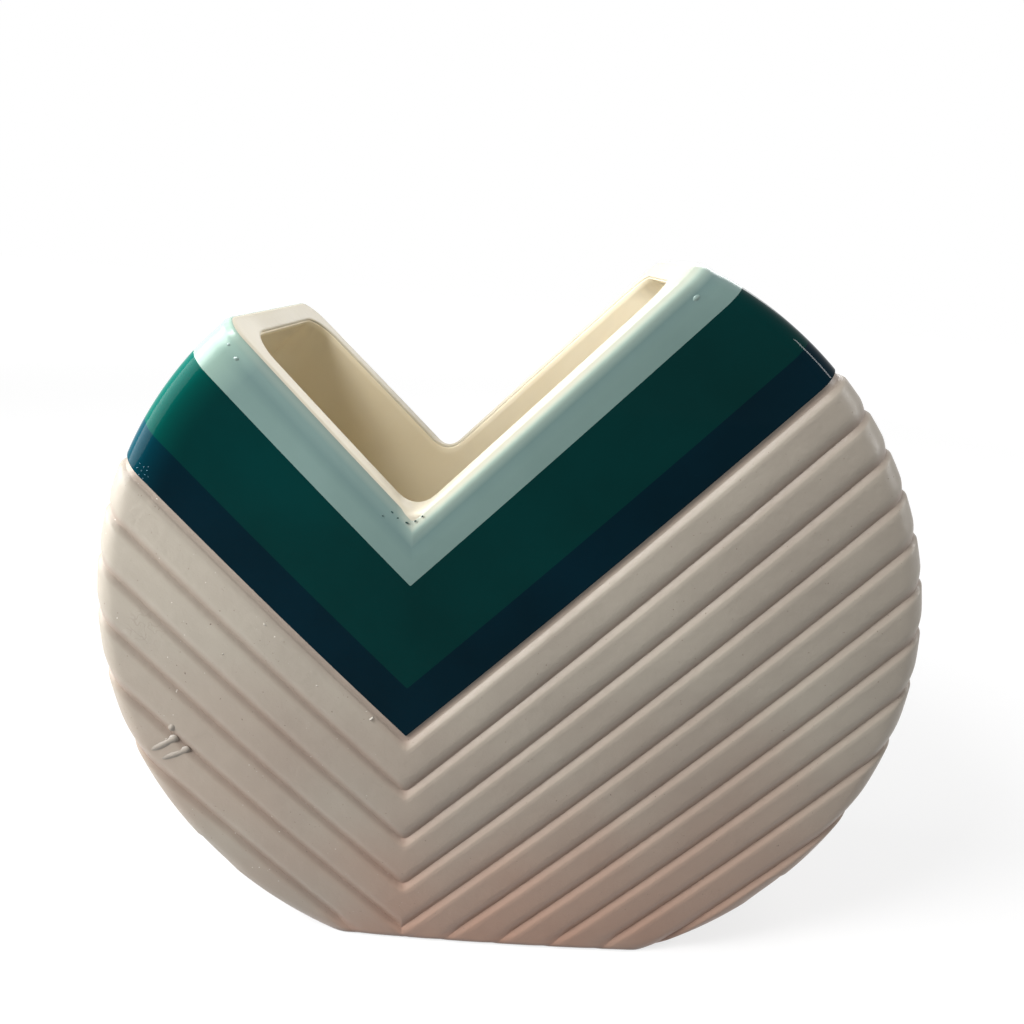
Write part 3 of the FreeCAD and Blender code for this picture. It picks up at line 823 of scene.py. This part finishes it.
def soft_light(name, place_at, width, tall, strength):
    """An upright soft lamp that looks at the middle of the vase."""
    data = bpy.data.lights.new(name, "AREA")
    data.shape = "RECTANGLE"
    data.size = width
    data.size_y = tall
    data.energy = strength
    lamp = bpy.data.objects.new(name, data)
    lamp.location = place_at
    aim = Vector((0, 0, CENTRE_HEIGHT * MM)) - lamp.location
    lamp.rotation_euler = aim.to_track_quat("-Z", "Y").to_euler()
    bpy.context.scene.collection.objects.link(lamp)


def seen_white(material, shader, strength):
    """The shader with white light added for what the camera sees straight, in gloss or through glass."""
    tree = material.node_tree
    path = tree.nodes.new("ShaderNodeLightPath")
    seen = reckon(material, "MAXIMUM", path.outputs["Is Camera Ray"], path.outputs["Is Glossy Ray"])
    seen = reckon(material, "MAXIMUM", seen, path.outputs["Is Transmission Ray"])
    light = tree.nodes.new("ShaderNodeEmission")
    tree.links.new(reckon(material, "MULTIPLY", seen, strength), light.inputs["Strength"])
    both = tree.nodes.new("ShaderNodeAddShader")
    tree.links.new(shader, both.inputs[0])
    tree.links.new(light.outputs[0], both.inputs[1])
    return both.outputs[0]


def set_floor():
    """A pale floor that keeps the vase's shadow and grows whiter away from it."""
    span = 3.0
    mesh = bpy.data.meshes.new("floor")
    corners = [(-span, -span, 0), (span, -span, 0), (span, span, 0), (-span, span, 0)]
    mesh.from_pydata(corners, [], [(0, 1, 2, 3)])
    floor = bpy.data.objects.new("floor", mesh)
    bpy.context.scene.collection.objects.link(floor)
    material, surface = new_material("pale_floor", 0.7)
    surface.inputs["Base Color"].default_value = (0.28, 0.28, 0.28, 1.0)
    surface.inputs["Specular IOR Level"].default_value = 0.0
    tree = material.node_tree
    away = tree.nodes.new("ShaderNodeVectorMath")
    away.operation = "LENGTH"
    join(material, place(material), away.inputs[0])
    glow = stretch(material, away.outputs["Value"], 0.2, 1.3, 0.72, 0.99)
    output = tree.nodes["Material Output"]
    join(material, seen_white(material, surface.outputs[0], glow), output.inputs["Surface"])
    mesh.materials.append(material)


def set_world():
    """An even grey sky that looks white."""
    world = bpy.data.worlds.new("studio")
    bpy.context.scene.world = world
    world.use_nodes = True
    sky = world.node_tree.nodes["Background"]
    sky.inputs["Color"].default_value = (1, 1, 1, 1)
    sky.inputs["Strength"].default_value = SKY
    output = world.node_tree.nodes["World Output"]
    join(world, seen_white(world, sky.outputs[0], 1.0 - SKY), output.inputs["Surface"])


bpy.context.scene.view_settings.view_transform = "Standard"
set_camera()
set_world()
set_floor()
soft_light("window_above_left", (-0.26, -0.24, 0.52), 0.16, 0.16, 1.8)
soft_light("window_left", (-0.50, -0.13, 0.31), 0.45, 0.45, 5.4)
soft_light("window_behind", (0.20, 0.60, 0.55), 0.40, 0.40, 1.8)
soft_light("window_front_right", (0.60, -0.11, 0.515), 0.06, 0.15, 1.1)
soft_light("window_right", (0.90, -0.174, 0.33), 0.02, 0.26, 1.7)
soft_light("front_fill", (0.25, -0.9, 0.45), 0.80, 0.80, 0.35)

shell_mesh = welded_mesh("vase_shell", shell_patches())
add_piece("vase_shell", shell_mesh, satin_cream(), "satin_cream", "vase_body")

liner = colour_glaze("clear_glaze", (238, 226, 197), (244, 235, 211), 0.2, 0.2)
liner_mesh = welded_mesh("inner_clear_glaze", liner_patches())
add_piece("inner_clear_glaze", liner_mesh, liner, "clear_glaze", "inner_glaze")

mint_patches = band_patches(MINT_DROP, TEAL_DROP, top_round=MINT_SWELL, bead=MINT_BEAD)
mint_mesh = welded_mesh("mint_band", mint_patches, True)
add_piece("mint_band", mint_mesh, mint_glaze(), "mint_glaze", "mint_glaze_band")

# The last colour is painted light on the rim on the upper left.
teal = colour_glaze("teal_glaze", (0, 42, 41), (0, 49, 48), 0.05, 0.03, (0, 108, 96))
teal_mesh = welded_mesh("teal_band", band_patches(TEAL_DROP, NAVY_DROP), True)
add_piece("teal_band", teal_mesh, teal, "teal_glaze", "teal_glaze_band")

# The last colour is painted light on the rim on the upper left.
navy = colour_glaze("navy_glaze", (0, 25, 35), (0, 31, 43), 0.05, 0.03, (0, 80, 96))
navy_patches = band_patches(NAVY_DROP, STRIP_DROP, bottom_round=NAVY_BOTTOM_ROUND)
navy_mesh = welded_mesh("navy_band", navy_patches, True)
add_piece("navy_band", navy_mesh, navy, "navy_glaze", "navy_glaze_band")

# Small marks of the firing. Each is named by its place across and above the middle of the disc,
# its half length, half width and height, and the turn of its length from level in degrees.
GREEN_SPECKS = [
    (-29.9, 37.6, 0.40, 0.22, 0.18, -40),
    (-28.6, 36.3, 0.28, 0.20, 0.18, 0),
    (-26.4, 35.3, 0.42, 0.20, 0.18, -20),
    (-24.5, 35.9, 0.28, 0.20, 0.18, 30),
    (-22.9, 37.2, 0.26, 0.18, 0.18, 40),
    (-32.1, 36.5, 0.22, 0.18, 0.16, 0),
]
speck_mesh = welded_mesh("green_glaze_specks", bead_patches(GREEN_SPECKS, ON_GLAZE - 0.05))
speck_glaze = plain_glaze("dark_green_speck", (14, 58, 54), 0.25)
add_piece("green_glaze_specks", speck_mesh, speck_glaze, "teal_glaze")

MINT_PIPS = [
    (-65.6, 69.6, 0.8, 0.7, 0.35, 0),
    (-67.2, 72.5, 0.6, 0.6, 0.32, 0),
    (34.2, 91.1, 1.1, 0.9, 0.35, 40),
]
pip_mesh = welded_mesh("mint_glaze_pips", bead_patches(MINT_PIPS, ON_GLAZE - 0.2, 1.5))
pip_glaze = plain_glaze("pale_mint_pip", (140, 164, 157), 0.24)
add_piece("mint_glaze_pips", pip_mesh, pip_glaze, "mint_glaze")

NAVY_BLISTERS = [
    (-89.6, 42.4, 0.30, 0.10, 0.08, 20),
    (-88.9, 43.5, 0.24, 0.10, 0.08, -40),
    (-88.0, 42.7, 0.30, 0.10, 0.08, 60),
    (-87.3, 42.0, 0.22, 0.10, 0.08, 10),
    (-88.6, 41.8, 0.26, 0.10, 0.08, 75),
    (-87.9, 40.9, 0.22, 0.10, 0.08, -20),
    (-89.3, 40.8, 0.28, 0.10, 0.08, 35),
    (-88.4, 40.0, 0.22, 0.10, 0.08, 0),
    (-86.9, 42.9, 0.18, 0.10, 0.08, 50),
    (-87.1, 40.5, 0.20, 0.10, 0.08, -60),
]
blister_mesh = welded_mesh("navy_glaze_blisters", bead_patches(NAVY_BLISTERS, ON_GLAZE))
# The blisters are small lumps of the glaze; their pale blue is a painted glint.
blister_glint_glaze = plain_glaze("blister_painted_glint", (70, 122, 142), 0.2)
add_piece("navy_glaze_blisters", blister_mesh, blister_glint_glaze, "navy_glaze")

CREAM_FLECKS = [
    (-33.9, -17.8, 0.6, 0.3, 0.8, 30),
    (-60.2, 6.1, 0.5, 0.3, 0.8, -30),
    (-47.5, -9.4, 0.4, 0.2, 0.8, 0),
    (-71.0, -3.2, 0.4, 0.2, 0.8, 50),
]
fleck_mesh = welded_mesh("cream_flecks", bead_patches(CREAM_FLECKS, ON_BARE))
fleck_glaze = plain_glaze("pale_speck", (188, 183, 172), 0.3)
add_piece("cream_flecks", fleck_mesh, fleck_glaze, "satin_cream")

CASTING_RIDGES = [
    (-88.6, -32.2, 4.8, 1.5, 0.95, 33),
    (-85.9, -35.0, 4.8, 1.4, 0.90, 27),
    (-85.6, -26.4, 1.6, 1.2, 0.75, 60),
]
ridge_mesh = welded_mesh("casting_ridges", bead_patches(CASTING_RIDGES, ON_BARE, 1.0))
ridge_glaze = plain_glaze("cream_ridge", (160, 151, 139), 0.4)
add_piece("casting_ridges", ridge_mesh, ridge_glaze, "satin_cream")
